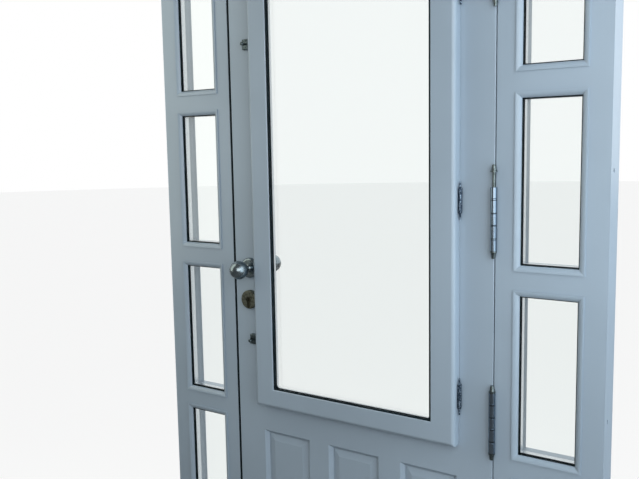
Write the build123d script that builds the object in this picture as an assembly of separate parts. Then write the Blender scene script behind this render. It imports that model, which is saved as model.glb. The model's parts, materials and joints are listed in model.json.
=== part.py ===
from build123d import *
import os
from math import cos, radians, sin

# Millimetres. X runs to the right as seen from the room, Y runs outdoors, Z runs up.
# X = 0 is the middle of the doorway, Y = 0 is the room face of frame and leaf, Z = 0 is the sill.

# Fixed frame
frame_height = 2100.0
doorway_width = 804.0
head_height = 52.0
mullion_width = 45.0
sidelight_width = 162.0
jamb_width = 50.0
stop_reach = 14.0
stop_thickness = 12.0
stop_gap = 2.0
edge_round = 2.0
reveal_chamfer = 4.0
fixing_hole_radius = 5.0
fixing_end = 200.0
fixing_inner_spacing = 560.0

# Threshold
threshold_height = 22.0
threshold_nose = 12.0
threshold_drip = 22.0
threshold_fall = 6.0
threshold_round = 4.0

# Sidelight glazing
pane_count = 4
bar_height = 45.0
bottom_rail_height = 167.25
top_rail_height = 85.75
bead_width = 14.0
bead_proud = 3.0
bead_flat = 2.5
bead_inner_fall = 6.0
bead_curve = 15.0
glass_front = 12.0
glass_sheet = 4.0
glass_cavity = 16.0
glass_edge_gap = 3.0
gasket_width = 1.6
spacer_showing = 1.5

# Leaf
leaf_thickness = 54.0
leaf_top_gap = 3.0
leaf_bottom_gap = 5.0
lock_gap = 7.0
hinge_gap = 2.0
stile_width = 103.0
leaf_top_rail_height = 178.0
lock_rail_height = 107.0
bottom_rail_top = 164.0
panel_count = 3
muntin_width = 84.5
panel_height = 398.0
sticking = 10.0
groove_width = 12.0
groove_depth = 10.0
panel_fit = 0.5
panel_recess = 11.0
panel_field_recess = 6.5
panel_margin = 2.0
panel_bevel = 18.5
seal_clearance = 0.3
seal_width = 9.0
edge_seal_width = 9.0
edge_seal_thickness = 3.5
edge_seal_set_back = 0.5

# Sash in the leaf
sash_proud = 30.0
sash_seat_gap = 0.8
sash_overlap_side = 16.0
sash_overlap_end = 14.0
sash_stile_width = 64.5
sash_rail_height = 54.0
sash_round = 10.0
sash_tongue_depth = 8.0
sash_lip_chamfer = 9.0
sash_tongue_gap = 3.0
sash_bead_width = 9.0
sash_glass_recess = 10.0
sash_cavity = 7.0
sash_gasket_width = 4.0
sash_gasket_corner = 10.0
sash_spacer_showing = 0.5

# Leaf hinges
lowest_hinge_rise = 203.0
highest_hinge_drop = 253.0
hinge_shares = (0.0, 0.319, 0.6325, 1.0)
raised_pin = 2
raised_pin_lift = 35.0
knuckle_radius = 7.9
frame_knuckle = 26.0
leaf_knuckle = 36.0
knuckle_gap = 0.3
knuckle_chamfer = 0.6
hinge_pin_radius = 4.2
pin_clearance = 0.05
hinge_face_clearance = 0.45
hinge_plate_width = 38.0
hinge_plate_thickness = 2.5
hinge_plate_gap = 0.2
finial_height = 17.0
finial_collar_step = 0.35
finial_collar_height = 2.6
finial_tip_radius = 4.2
hinge_screw_end = 20.0
hinge_screw_set_back = 22.0
screw_radius = 2.0
screw_head_radius = 4.5
screw_length = 28.0
screw_clearance = 0.1

# Sash hinges
sash_hinge_rise = 125.0
sash_hinge_drop = 123.0
sash_hinge_shares = (0.0, 0.491, 1.0)
sash_knuckle_radius = 4.75
sash_knuckle = 20.0
sash_pin_radius = 2.2
sash_hinge_set_forward = 11.0
sash_hinge_clearance = 0.5
sash_plate_thickness = 2.0
sash_plate_sink = 20.0
sash_finial_height = 15.5
sash_finial_radius = 2.9

# Lock
knob_height = 1050.0
rose_clearance = 2.5
cylinder_drop = 92.0
deadbolt_drop = 58.0
faceplate_width = 22.0
faceplate_height = 230.0
faceplate_thickness = 2.5
faceplate_centre_drop = 50.0
lock_case_thickness = 14.0
lock_case_end = 22.0
lock_case_tail = 28.5
lock_case_fit = 0.5
bolt_thickness = 12.0
bolt_fit = 0.2
latch_height = 26.0
latch_reach = 13.0
latch_length = 42.0
deadbolt_height = 30.0
deadbolt_length = 45.0
deadbolt_throw = 20.0
strike_thickness = 2.5
strike_width = 24.0
strike_clearance = 1.5
pocket_depth = 18.0
lock_screw_end = 11.0

# Knob, rose and escutcheon
knob_radius = 26.5
knob_centre_reach = 52.0
knob_neck_radius = 8.5
knob_shank_radius = 11.0
rose_radius = 29.5
rose_thickness = 12.0
rose_edge_round = 5.0
turning_clearance = 0.3
spindle_width = 8.0
hub_radius = 9.0
spindle_hole_radius = 8.0
escutcheon_radius = 27.0
escutcheon_thickness = 14.0
escutcheon_round = 3.0
cylinder_radius = 8.5
cylinder_stem_width = 10.0
cylinder_height = 33.0
cylinder_fit = 0.3
plug_radius = 6.4
plug_length = 31.0
plug_proud = 0.8
keyway_width = 2.4
keyway_height = 9.0
keyway_depth = 24.0

# Sash catches
catch_below_knob = 208.0
catch_below_top = 200.5
catch_case_width = 22.0
catch_case_height = 28.5
catch_case_depth = 13.0
catch_edge_gap = 9.0
catch_wall = 2.0
catch_round = 2.5
catch_bolt_height = 10.0
catch_bolt_thickness = 6.0
catch_fit = 0.3
catch_reach = 6.5
catch_travel = 7.5
catch_stem_radius = 2.5
catch_stem_set_back = 14.5
catch_knob_radius = 5.0
catch_knob_reach = 33.0
catch_screw_end = 5.0
catch_screw_length = 16.0
catch_screw_radius = 1.6
catch_screw_head = 3.0
keeper_thickness = 1.5
keeper_height = 26.0

# Places worked out from the sizes
doorway_half = doorway_width / 2
doorway_top = frame_height - head_height
sidelight_in = doorway_half + mullion_width
sidelight_out = sidelight_in + sidelight_width
frame_half = sidelight_out + jamb_width
stop_front = leaf_thickness + stop_gap
frame_depth = stop_front + stop_thickness
unit_depth = 2 * glass_sheet + glass_cavity
glass_back = glass_front + unit_depth
first_pane = threshold_height + bottom_rail_height
last_pane_top = doorway_top - top_rail_height
pane_height = (last_pane_top - first_pane - (pane_count - 1) * bar_height) / pane_count
pane_pitch = pane_height + bar_height

leaf_left = -doorway_half + lock_gap
leaf_right = doorway_half - hinge_gap
leaf_bottom = threshold_height + leaf_bottom_gap
leaf_top = doorway_top - leaf_top_gap
opening_left = leaf_left + stile_width
opening_right = leaf_right - stile_width
opening_top = leaf_top - leaf_top_rail_height
panel_bottom = bottom_rail_top
panel_top = panel_bottom + panel_height
opening_bottom = panel_top + lock_rail_height
panel_width = (opening_right - opening_left - (panel_count - 1) * muntin_width) / panel_count
panel_pitch = panel_width + muntin_width

sash_left = opening_left - sash_overlap_side
sash_right = opening_right + sash_overlap_side
sash_bottom = opening_bottom - sash_overlap_end
sash_top = opening_top + sash_overlap_end
sight_left = sash_left + sash_stile_width
sight_right = sash_right - sash_stile_width
sight_bottom = sash_bottom + sash_rail_height
sight_top = sash_top - sash_rail_height
sash_unit_front = -sash_proud + sash_glass_recess
sash_unit_back = sash_unit_front + 2 * glass_sheet + sash_cavity

hinge_x = doorway_half - hinge_gap / 2
hinge_y = -(knuckle_radius + hinge_face_clearance)
hinge_height = 3 * frame_knuckle + 2 * leaf_knuckle
lowest_hinge = leaf_bottom + lowest_hinge_rise
highest_hinge = leaf_top - highest_hinge_drop
hinge_heights = [lowest_hinge + share * (highest_hinge - lowest_hinge)
                 for share in hinge_shares]
finial_collar_radius = knuckle_radius + finial_collar_step
sash_hinge_x = sash_right + sash_knuckle_radius + sash_hinge_clearance
sash_hinge_y = -sash_hinge_set_forward
lowest_sash_hinge = sash_bottom + sash_hinge_rise
highest_sash_hinge = sash_top - sash_hinge_drop
sash_hinge_heights = [lowest_sash_hinge + share * (highest_sash_hinge - lowest_sash_hinge)
                      for share in sash_hinge_shares]
knob_x = sash_left - rose_clearance - rose_radius
lock_centre_depth = leaf_thickness / 2
cylinder_z = knob_height - cylinder_drop
deadbolt_z = knob_height - deadbolt_drop
faceplate_z = knob_height - faceplate_centre_drop
case_front = leaf_left + faceplate_thickness
case_back = knob_x + lock_case_tail
case_half_height = faceplate_height / 2 - lock_case_end
lock_screw_rise = faceplate_height / 2 - lock_screw_end
catch_right = sash_left - catch_edge_gap
catch_left = catch_right - catch_case_width
catch_bolt_y = -catch_case_depth / 2
catch_heights = (knob_height - catch_below_knob, sash_top - catch_below_top)


def block(x0, x1, y0, y1, z0, z1):
    return Pos((x0 + x1) / 2, (y0 + y1) / 2, (z0 + z1) / 2) * Box(x1 - x0, y1 - y0, z1 - z0)


def upright(points, z0, z1):
    return extrude(Pos(0, 0, z0) * make_face(Polyline(*points, close=True)), z1 - z0)


def rod(radius, x, z, y0, y1):
    """A round rod along Y."""
    return Pos(x, (y0 + y1) / 2, z) * Rot(90, 0, 0) * Cylinder(radius, y1 - y0)


def post(radius, x, y, z0, z1):
    """A round rod along Z."""
    return Pos(x, y, (z0 + z1) / 2) * Cylinder(radius, z1 - z0)


def ring(x0, x1, y0, y1, z0, z1, width, corner=0.0):
    hole = block(x0 + width, x1 - width, y0, y1, z0 + width, z1 - width)
    if corner:
        hole = fillet(hole.edges().filter_by(Axis.Y), corner)
    return block(x0, x1, y0, y1, z0, z1) - hole


def frustum(x0, x1, z0, z1, y_wide, y_narrow, shrink):
    """A block that narrows by shrink on each side between its two depths."""
    wide = Plane(((x0 + x1) / 2, y_wide, (z0 + z1) / 2), x_dir=(1, 0, 0), z_dir=(0, -1, 0))
    narrow = Plane(((x0 + x1) / 2, y_narrow, (z0 + z1) / 2), x_dir=(1, 0, 0), z_dir=(0, -1, 0))
    return loft([wide * Rectangle(x1 - x0, z1 - z0),
                 narrow * Rectangle(x1 - x0 - 2 * shrink, z1 - z0 - 2 * shrink)])


def mirrored(shape):
    return mirror(shape, about=Plane.YZ)


def edges_at(shape, axis, x, y):
    """The upright edges of a shape that stand at x, y."""
    return [e for e in shape.edges().filter_by(axis)
            if abs(e.center().X - x) < 0.01 and abs(e.center().Y - y) < 0.01]


def screw_x(x, y, z, into, head, radius, length):
    """A countersunk screw whose head lies at x and whose shank runs along X, into = 1 or -1."""
    profile = Polyline((0, 0), (head, 0), (radius, head - radius), (radius, length), (0, length),
                       close=True)
    body = revolve(Plane.XZ * make_face(profile), Axis.Z)
    return Pos(x, y, z) * Rot(0, 90 * into, 0) * body


def screw_y(x, y, z, head, radius, length):
    """A countersunk screw with its head at y, driven outdoors."""
    return Pos(x, y, z) * Rot(0, 0, 90) * screw_x(0, 0, 0, 1, head, radius, length)


# Fixed frame

def mullion():
    x0, x1 = doorway_half, sidelight_in
    points = [(x0, 0), (x1, 0), (x1, glass_back), (x1 + bead_width, glass_back),
              (x1 + bead_width, frame_depth), (x0 - stop_reach, frame_depth),
              (x0 - stop_reach, stop_front), (x0, stop_front)]
    bar = upright(points, threshold_height, doorway_top)
    bar = fillet(edges_at(bar, Axis.Z, x0, 0), edge_round)
    return chamfer(edges_at(bar, Axis.Z, x1 + bead_width, frame_depth), reveal_chamfer)


def jamb():
    x0, x1 = sidelight_out, frame_half
    points = [(x0, 0), (x1, 0), (x1, frame_depth), (x0 - bead_width, frame_depth),
              (x0 - bead_width, glass_back), (x0, glass_back)]
    post_bar = upright(points, threshold_height, doorway_top)
    post_bar = chamfer(edges_at(post_bar, Axis.Z, x0 - bead_width, frame_depth), reveal_chamfer)
    for z in fixing_heights():
        hole = Pos((x0 + x1) / 2, (glass_front + glass_back) / 2, z) * Rot(0, 90, 0)
        post_bar -= hole * Cylinder(fixing_hole_radius, 2 * jamb_width)
    return post_bar


def fixing_heights():
    middle = frame_height / 2
    spacings = (frame_height - 2 * fixing_end, fixing_inner_spacing)
    return [middle + side * spacing / 2 for spacing in spacings for side in (-1, 1)]


def head_rail():
    head = block(-frame_half, frame_half, 0, frame_depth, doorway_top, frame_height)
    stop = block(-doorway_half + stop_reach, doorway_half - stop_reach, stop_front, frame_depth,
                 doorway_top - stop_reach, doorway_top)
    return head + stop


def threshold():
    y0, y1 = -threshold_nose, frame_depth + threshold_drip
    profile = Polyline((y0, 0), (y1, 0), (y1, threshold_height - threshold_fall),
                       (frame_depth, threshold_height), (y0, threshold_height), close=True)
    sill = Pos(-frame_half, 0, 0) * extrude(Plane.YZ * make_face(profile), 2 * frame_half)
    nose = [e for e in sill.edges().filter_by(Axis.X)
            if abs(e.center().Y - y0) < 0.01 and e.center().Z > threshold_height / 2]
    sill = fillet(nose, threshold_round)
    return sill + block(-doorway_half + stop_reach, doorway_half - stop_reach, stop_front,
                        frame_depth, threshold_height, threshold_height + stop_reach)


def cross_rail(z0, z1, lip_below, lip_above):
    """A sidelight rail or bar, with the lips that hold the glass from outdoors."""
    front = block(sidelight_in, sidelight_out, 0, glass_back, z0, z1)
    lip = block(sidelight_in + bead_width, sidelight_out - bead_width, glass_back, frame_depth,
                z0 - lip_below, z1 + lip_above)
    edges = [e for e in lip.edges().filter_by(Axis.X) if abs(e.center().Y - frame_depth) < 0.01
             and (lip_above and e.center().Z > z1 or lip_below and e.center().Z < z0)]
    return front + chamfer(edges, reveal_chamfer)


def pane_starts():
    return [first_pane + i * pane_pitch for i in range(pane_count)]


def glazing_bars():
    return [cross_rail(z - bar_height, z, bead_width, bead_width) for z in pane_starts()[1:]]


def bead_profile():
    straight = Polyline((bead_flat, -bead_proud), (0, -bead_proud), (0, glass_front),
                        (bead_width, glass_front), (bead_width, bead_inner_fall))
    curve = RadiusArc((bead_width, bead_inner_fall), (bead_flat, -bead_proud), bead_curve)
    return make_face(straight + curve)


def corner_wedge(points, depth):
    """A prism along Y that trims a bar to its mitres."""
    return extrude(Rot(90, 0, 0) * make_face(Polyline(*points, close=True)), depth, both=True)


def mitred_bars(profile, width, across, height):
    """Four bars round an opening whose lower left corner is the origin.

    The profile lies in XY: X runs from the opening's edge inwards, Y as in the frame."""
    side = [(0, 0), (width, width), (width, height - width), (0, height)]
    foot = [(0, 0), (across, 0), (across - width, width), (width, width)]
    left = extrude(profile, height) & corner_wedge(side, frame_depth)
    lying = mirror(Rot(0, 90, 0) * extrude(profile, across), about=Plane.XY)
    bottom = lying & corner_wedge(foot, frame_depth)
    right = Pos(across, 0, 0) * mirror(left, about=Plane.YZ)
    top = Pos(0, 0, height) * mirror(bottom, about=Plane.XY)
    return [left, bottom, right, top]


def sidelight_beads():
    bars = mitred_bars(bead_profile(), bead_width, sidelight_width, pane_height)
    return [Pos(sidelight_in, 0, z) * bar for z in pane_starts() for bar in bars]


def sidelight_glass():
    panes = []
    for z in pane_starts():
        for y in (glass_front, glass_front + glass_sheet + glass_cavity):
            panes.append(block(sidelight_in + glass_edge_gap, sidelight_out - glass_edge_gap,
                               y, y + glass_sheet, z + glass_edge_gap,
                               z + pane_height - glass_edge_gap))
    return panes


def sidelight_spacers():
    width = bead_width + gasket_width + spacer_showing - glass_edge_gap
    y = glass_front + glass_sheet
    return [ring(sidelight_in + glass_edge_gap, sidelight_out - glass_edge_gap, y,
                 y + glass_cavity, z + glass_edge_gap, z + pane_height - glass_edge_gap, width)
            for z in pane_starts()]


def sidelight_gaskets():
    return [ring(sidelight_in + bead_width, sidelight_out - bead_width, bead_inner_fall,
                 glass_front, z + bead_width, z + pane_height - bead_width, gasket_width)
            for z in pane_starts()]


def frame_seal():
    y0, y1 = leaf_thickness + seal_clearance, stop_front
    reach = doorway_half - stop_reach
    low = threshold_height + stop_reach
    high = doorway_top - stop_reach
    right = block(reach, reach + seal_width, y0, y1, low, high)
    head = block(-reach, reach, y0, y1, high, high + seal_width)
    foot = block(-reach, reach, y0, y1, low - seal_width, low)
    edge = block(-doorway_half, -doorway_half + edge_seal_thickness, edge_seal_set_back,
                 edge_seal_set_back + edge_seal_width, threshold_height, doorway_top)
    return [right, mirrored(right), head, foot, edge]


# Hinges

def knuckle_spans(z, sizes, owner):
    """The heights of the knuckles of one side, counted from the lowest."""
    low = z - sum(sizes) / 2
    spans = []
    for i, size in enumerate(sizes):
        if i % 2 == owner:
            spans.append((low + knuckle_gap / 2, low + size - knuckle_gap / 2))
        low += size
    return spans


def knuckle(radius, x, y, low, high):
    """A barrel section whose eased ends show as a ring at each joint."""
    barrel = post(radius, x, y, low, high)
    return chamfer(barrel.edges().filter_by(GeomType.CIRCLE), knuckle_chamfer)


def hinge_sizes():
    return [frame_knuckle, leaf_knuckle, frame_knuckle, leaf_knuckle, frame_knuckle]


def plate_x(side):
    inner = hinge_x + side * hinge_plate_gap / 2
    outer = inner + side * hinge_plate_thickness
    return min(inner, outer), max(inner, outer)


def hinge_half(z, side):
    """One half of a leaf hinge: side 1 stands on the mullion, side -1 on the leaf."""
    x0, x1 = plate_x(side)
    half = block(x0, x1, 0, hinge_plate_width, z - hinge_height / 2, z + hinge_height / 2)
    for low, high in knuckle_spans(z, hinge_sizes(), 0 if side > 0 else 1):
        half += block(x0, x1, hinge_y, 0, low, high)
        half += knuckle(knuckle_radius, hinge_x, hinge_y, low, high)
    half -= post(hinge_pin_radius + pin_clearance, hinge_x, hinge_y,
                 z - hinge_height, z + hinge_height)
    for screw in hinge_screws(z, side, screw_clearance):
        half -= screw
    return half


def hinge_screws(z, side, extra=0.0):
    x = hinge_x + side * hinge_plate_gap / 2
    reach = hinge_height / 2 - hinge_screw_end
    return [screw_x(x, hinge_screw_set_back, z + rise, side, screw_head_radius + extra,
                    screw_radius + extra, screw_length + extra)
            for rise in (-reach, 0, reach)]


def plate_recess(z, side):
    x0, x1 = plate_x(side)
    return block(x0, x1, -1, hinge_plate_width, z - hinge_height / 2, z + hinge_height / 2)


def finial(collar, collar_height, height, tip):
    """A turned finial that stands on Z = 0."""
    points = [(0, 0), (collar, 0), (collar, collar_height), (collar * 0.8, collar_height + 0.8),
              (tip, height), (0, height)]
    return revolve(Plane.XZ * make_face(Polyline(*points, close=True)), Axis.Z)


def hinge_pins():
    pieces = []
    for i, z in enumerate(hinge_heights):
        lift = raised_pin_lift if i == raised_pin else 0.0
        top = z + hinge_height / 2 + lift
        bottom = z - hinge_height / 2 + frame_knuckle / 2 + lift
        tip = finial(finial_collar_radius, finial_collar_height, finial_height,
                     finial_tip_radius)
        pin = post(hinge_pin_radius, 0, 0, bottom, top) + Pos(0, 0, top) * tip
        foot = mirror(tip, about=Plane.XY) + post(hinge_pin_radius, 0, 0, 0, frame_knuckle / 3)
        pieces.append(Pos(hinge_x, hinge_y, 0) * pin)
        pieces.append(Pos(hinge_x, hinge_y, z - hinge_height / 2) * foot)
    return pieces


def sash_hinge_fixed(z):
    sizes = [sash_knuckle] * 3
    x0 = sash_hinge_x - sash_plate_thickness / 2
    x1 = sash_hinge_x + sash_plate_thickness / 2
    low, high = z - 1.5 * sash_knuckle, z + 1.5 * sash_knuckle
    clear = sash_hinge_y + sash_knuckle_radius + sash_hinge_clearance
    half = block(x0, x1, clear, sash_plate_sink, low, high)
    for z0, z1 in knuckle_spans(z, sizes, 0):
        half += block(x0, x1, sash_hinge_y, clear, z0, z1)
        half += knuckle(sash_knuckle_radius, sash_hinge_x, sash_hinge_y, z0, z1)
    return half - post(sash_pin_radius + pin_clearance, sash_hinge_x, sash_hinge_y,
                       low - 1, high + 1)


def sash_hinge_moving(z):
    (z0, z1), = knuckle_spans(z, [sash_knuckle] * 3, 1)
    half = block(sash_right - sash_plate_sink, sash_hinge_x,
                 sash_hinge_y - sash_plate_thickness / 2,
                 sash_hinge_y + sash_plate_thickness / 2, z0, z1)
    half += knuckle(sash_knuckle_radius, sash_hinge_x, sash_hinge_y, z0, z1)
    return half - post(sash_pin_radius + pin_clearance, sash_hinge_x, sash_hinge_y,
                       z0 - 1, z1 + 1)


def sash_hinge_pin(z):
    reach = 1.5 * sash_knuckle
    tip = finial(sash_finial_radius, 1.5, sash_finial_height, sash_finial_radius * 0.7)
    pin = post(sash_pin_radius, 0, 0, -reach, reach) + Pos(0, 0, reach) * tip
    return Pos(sash_hinge_x, sash_hinge_y, z) * (pin + Pos(0, 0, -reach)
                                                * mirror(tip, about=Plane.XY))


# Leaf

def panel_lefts():
    return [opening_left + i * panel_pitch for i in range(panel_count)]


def leaf_blank():
    blank = block(leaf_left, leaf_right, 0, leaf_thickness, leaf_bottom, leaf_top)
    rims = [e for e in blank.edges() if abs(e.center().Y) < 0.01]
    blank = fillet(rims, edge_round)
    blank -= block(opening_left, opening_right, -1, leaf_thickness + 1, opening_bottom,
                   opening_top)
    for x in panel_lefts():
        x1 = x + panel_width
        blank -= block(x, x1, -1, leaf_thickness + 1, panel_bottom, panel_top)
        middle = leaf_thickness / 2
        blank -= block(x - groove_depth, x1 + groove_depth, middle - groove_width / 2,
                       middle + groove_width / 2, panel_bottom - groove_depth,
                       panel_top + groove_depth)
        for face, inner in ((0, sticking), (leaf_thickness, leaf_thickness - sticking)):
            blank -= frustum(x - sticking, x1 + sticking, panel_bottom - sticking,
                             panel_top + sticking, face, inner, sticking)
    return blank


def leaf_members(blank):
    y0, y1 = -1, leaf_thickness + 1
    members = {
        "lock_stile": block(leaf_left, opening_left, y0, y1, leaf_bottom, leaf_top),
        "hinge_stile": block(opening_right, leaf_right, y0, y1, leaf_bottom, leaf_top),
        "leaf_top_rail": block(opening_left, opening_right, y0, y1, opening_top, leaf_top),
        "leaf_lock_rail": block(opening_left, opening_right, y0, y1, panel_top, opening_bottom),
        "leaf_bottom_rail": block(opening_left, opening_right, y0, y1, leaf_bottom,
                                  panel_bottom),
    }
    pieces = {name: blank & region for name, region in members.items()}
    lefts = panel_lefts()
    pieces["leaf_muntins"] = [
        blank & block(x + panel_width, x + panel_pitch, y0, y1, panel_bottom, panel_top)
        for x in lefts[:-1]]
    return pieces


def raised_panel(x):
    x0, x1 = x + panel_fit, x + panel_width - panel_fit
    z0, z1 = panel_bottom + panel_fit, panel_top - panel_fit
    middle = leaf_thickness / 2
    tongue = groove_depth - 1
    panel = block(x - tongue, x + panel_width + tongue, middle - groove_width / 2,
                  middle + groove_width / 2, panel_bottom - tongue, panel_top + tongue)
    panel += block(x0, x1, panel_recess, leaf_thickness - panel_recess, z0, z1)
    for base, crown in ((panel_recess, panel_field_recess),
                        (leaf_thickness - panel_recess, leaf_thickness - panel_field_recess)):
        panel += frustum(x0 + panel_margin, x1 - panel_margin, z0 + panel_margin,
                         z1 - panel_margin, base, crown, panel_bevel)
    return panel


# Sash

def sash_blank():
    blank = block(sash_left, sash_right, -sash_proud, -sash_seat_gap, sash_bottom, sash_top)
    rims = [e for e in blank.edges() if abs(e.center().Y + sash_proud) < 0.01]
    blank = fillet(rims, sash_round)
    gap = sash_tongue_gap
    blank += block(opening_left + gap, opening_right - gap, -sash_seat_gap, sash_tongue_depth,
                   opening_bottom + gap, opening_top - gap)
    blank -= block(sight_left - sash_bead_width, sight_right + sash_bead_width,
                   -sash_proud - 1, sash_unit_back, sight_bottom - sash_bead_width,
                   sight_top + sash_bead_width)
    blank -= block(sight_left, sight_right, -sash_proud - 1, sash_tongue_depth + 1,
                   sight_bottom, sight_top)
    return blank - frustum(sight_left - sash_lip_chamfer, sight_right + sash_lip_chamfer,
                           sight_bottom - sash_lip_chamfer, sight_top + sash_lip_chamfer,
                           sash_tongue_depth, sash_tongue_depth - sash_lip_chamfer,
                           sash_lip_chamfer)


def sash_pieces(blank):
    """Stiles run the whole height and the rails stand between them."""
    y0, y1 = -sash_proud - 1, sash_tongue_depth + 1
    return {
        "sash_lock_stile": blank & block(sash_left, sight_left, y0, y1, sash_bottom, sash_top),
        "sash_hinge_stile": blank & block(sight_right, sash_right, y0, y1, sash_bottom,
                                          sash_top),
        "sash_bottom_rail": blank & block(sight_left, sight_right, y0, y1, sash_bottom,
                                          sight_bottom),
        "sash_top_rail": blank & block(sight_left, sight_right, y0, y1, sight_top, sash_top),
    }


def sash_beads():
    across = sight_right - sight_left + 2 * sash_bead_width
    height = sight_top - sight_bottom + 2 * sash_bead_width
    profile = make_face(Polyline(
        (0, -sash_proud), (sash_bead_width - 2, -sash_proud), (sash_bead_width, 2 - sash_proud),
        (sash_bead_width, sash_unit_front), (0, sash_unit_front), close=True))
    corner = Pos(sight_left - sash_bead_width, 0, sight_bottom - sash_bead_width)
    return [corner * bar for bar in mitred_bars(profile, sash_bead_width, across, height)]


def sash_edge():
    return sash_bead_width - glass_edge_gap


def sash_glass():
    e = sash_edge()
    return [block(sight_left - e, sight_right + e, y, y + glass_sheet, sight_bottom - e,
                  sight_top + e)
            for y in (sash_unit_front, sash_unit_front + glass_sheet + sash_cavity)]


def sash_spacer():
    e = sash_edge()
    y = sash_unit_front + glass_sheet
    showing = sash_gasket_width + sash_spacer_showing
    return ring(sight_left - e, sight_right + e, y, y + sash_cavity, sight_bottom - e,
                sight_top + e, e + showing, sash_gasket_corner)


def sash_gasket():
    return ring(sight_left, sight_right, 2 - sash_proud, sash_unit_front, sight_bottom,
                sight_top, sash_gasket_width, sash_gasket_corner)


# Lock

def cylinder_profile(extra, y0, y1):
    """The section of a profile cylinder with its stem below, run along Y."""
    end = cylinder_stem_width / 2
    low = cylinder_z + cylinder_radius - cylinder_height
    barrel = rod(cylinder_radius + extra, knob_x, cylinder_z, y0, y1)
    stem = block(knob_x - end - extra, knob_x + end + extra, y0, y1, low + end, cylinder_z)
    return barrel + stem + rod(end + extra, knob_x, low + end, y0, y1)


def lock_body():
    half = lock_case_thickness / 2
    face = faceplate_width / 2
    y = lock_centre_depth
    body = block(case_front, case_back, y - half, y + half,
                 faceplate_z - case_half_height, faceplate_z + case_half_height)
    plate = block(leaf_left, case_front, y - face, y + face,
                  faceplate_z - faceplate_height / 2, faceplate_z + faceplate_height / 2)
    body += plate
    for z, height, length, travel in bolt_channels():
        body -= block(leaf_left - 1, leaf_left + length + travel, y - bolt_thickness / 2 - bolt_fit,
                      y + bolt_thickness / 2 + bolt_fit, z - height / 2 - bolt_fit,
                      z + height / 2 + bolt_fit)
    body -= rod(hub_radius + pin_clearance, knob_x, knob_height, y - 20, y + 20)
    body -= cylinder_profile(cylinder_fit, y - 20, y + 20)
    for screw in faceplate_screws(screw_clearance):
        body -= screw
    return body


def bolt_channels():
    latch_tail = latch_length - latch_reach
    return ((knob_height, latch_height, latch_tail, latch_reach + 1),
            (deadbolt_z, deadbolt_height, deadbolt_length, 1))


def faceplate_screws(extra=0.0):
    return [screw_x(leaf_left, lock_centre_depth, faceplate_z + side * lock_screw_rise, 1,
                    screw_head_radius + extra, screw_radius + extra, screw_length + extra)
            for side in (-1, 1)]


def strike_screws(extra=0.0):
    return [screw_x(-doorway_half, lock_centre_depth, faceplate_z + side * lock_screw_rise, -1,
                    screw_head_radius + extra, screw_radius + extra, screw_length + extra)
            for side in (-1, 1)]


def latch_bolt():
    x0 = leaf_left - latch_reach
    y0, y1 = lock_centre_depth - bolt_thickness / 2, lock_centre_depth + bolt_thickness / 2
    slope = latch_reach - 1
    points = [(x0, y0), (x0 + latch_length, y0), (x0 + latch_length, y1), (x0 + slope, y1),
              (x0, y0 + 2)]
    return upright(points, knob_height - latch_height / 2, knob_height + latch_height / 2)


def deadbolt():
    y0, y1 = lock_centre_depth - bolt_thickness / 2, lock_centre_depth + bolt_thickness / 2
    bolt = block(leaf_left, leaf_left + deadbolt_length, y0, y1, deadbolt_z - deadbolt_height / 2,
                 deadbolt_z + deadbolt_height / 2)
    ends = [e for e in bolt.edges() if abs(e.center().X - leaf_left) < 0.01]
    return chamfer(ends, 0.8)


def strike_holes(depth):
    half = bolt_thickness / 2 + strike_clearance
    cuts = []
    for z, height in ((knob_height, latch_height), (deadbolt_z, deadbolt_height)):
        cuts.append(block(-doorway_half - depth, -doorway_half + 1, lock_centre_depth - half,
                          lock_centre_depth + half, z - height / 2 - strike_clearance,
                          z + height / 2 + strike_clearance))
    return cuts


def strike_blank():
    half = strike_width / 2
    return block(-doorway_half - strike_thickness, -doorway_half, lock_centre_depth - half,
                 lock_centre_depth + half, faceplate_z - faceplate_height / 2,
                 faceplate_z + faceplate_height / 2)


def strike_plate():
    plate = strike_blank()
    for cut in strike_holes(strike_thickness + 1) + strike_screws(screw_clearance):
        plate -= cut
    return plate


# Knob, roses, cylinder and escutcheons; built for the room side and mirrored for outdoors

def to_outdoors(shape):
    return mirror(shape, about=Plane((0, leaf_thickness / 2, 0), z_dir=(0, 1, 0)))


def turned(points, x, z):
    """Revolve (radius, depth) points round an axis along Y."""
    face = Plane.XY * make_face(points)
    return Pos(x, 0, z) * revolve(face, Axis.Y)


def knob():
    centre = -knob_centre_reach
    join = centre + (knob_radius ** 2 - knob_neck_radius ** 2) ** 0.5
    back = -rose_thickness - 1.5
    outline = Polyline((0, centre - knob_radius), (0, 3 - rose_thickness),
                       (knob_shank_radius, 3 - rose_thickness), (knob_shank_radius, back))
    outline += Line((knob_shank_radius, back), (knob_neck_radius, back - 2.5))
    outline += Line((knob_neck_radius, back - 2.5), (knob_neck_radius, join))
    mid = radians(-20)
    outline += ThreePointArc((knob_neck_radius, join),
                             (knob_radius * cos(mid), centre + knob_radius * sin(mid)),
                             (0, centre - knob_radius))
    ball = turned(outline, knob_x, knob_height)
    return ball - spindle_bar(knob_centre_reach - 12)


def spindle_bar(reach):
    half = spindle_width / 2
    return block(knob_x - half, knob_x + half, -reach, leaf_thickness + reach,
                 knob_height - half, knob_height + half)


def spindle():
    y = lock_centre_depth
    half = lock_case_thickness / 2 - 0.5
    return spindle_bar(knob_centre_reach - 12) + rod(hub_radius, knob_x, knob_height, y - half,
                                                     y + half)


def rose():
    t, r, e = rose_thickness, rose_radius, rose_edge_round
    hole = knob_shank_radius + turning_clearance
    outline = Polyline((hole, 0), (r, 0), (r, -t + e + 2))
    outline += RadiusArc((r, -t + e + 2), (r - e - 3, -t), e + 2.5)
    outline += Polyline((r - e - 3, -t), (hole, -t), (hole, 0))
    return turned(outline, knob_x, knob_height)


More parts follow.
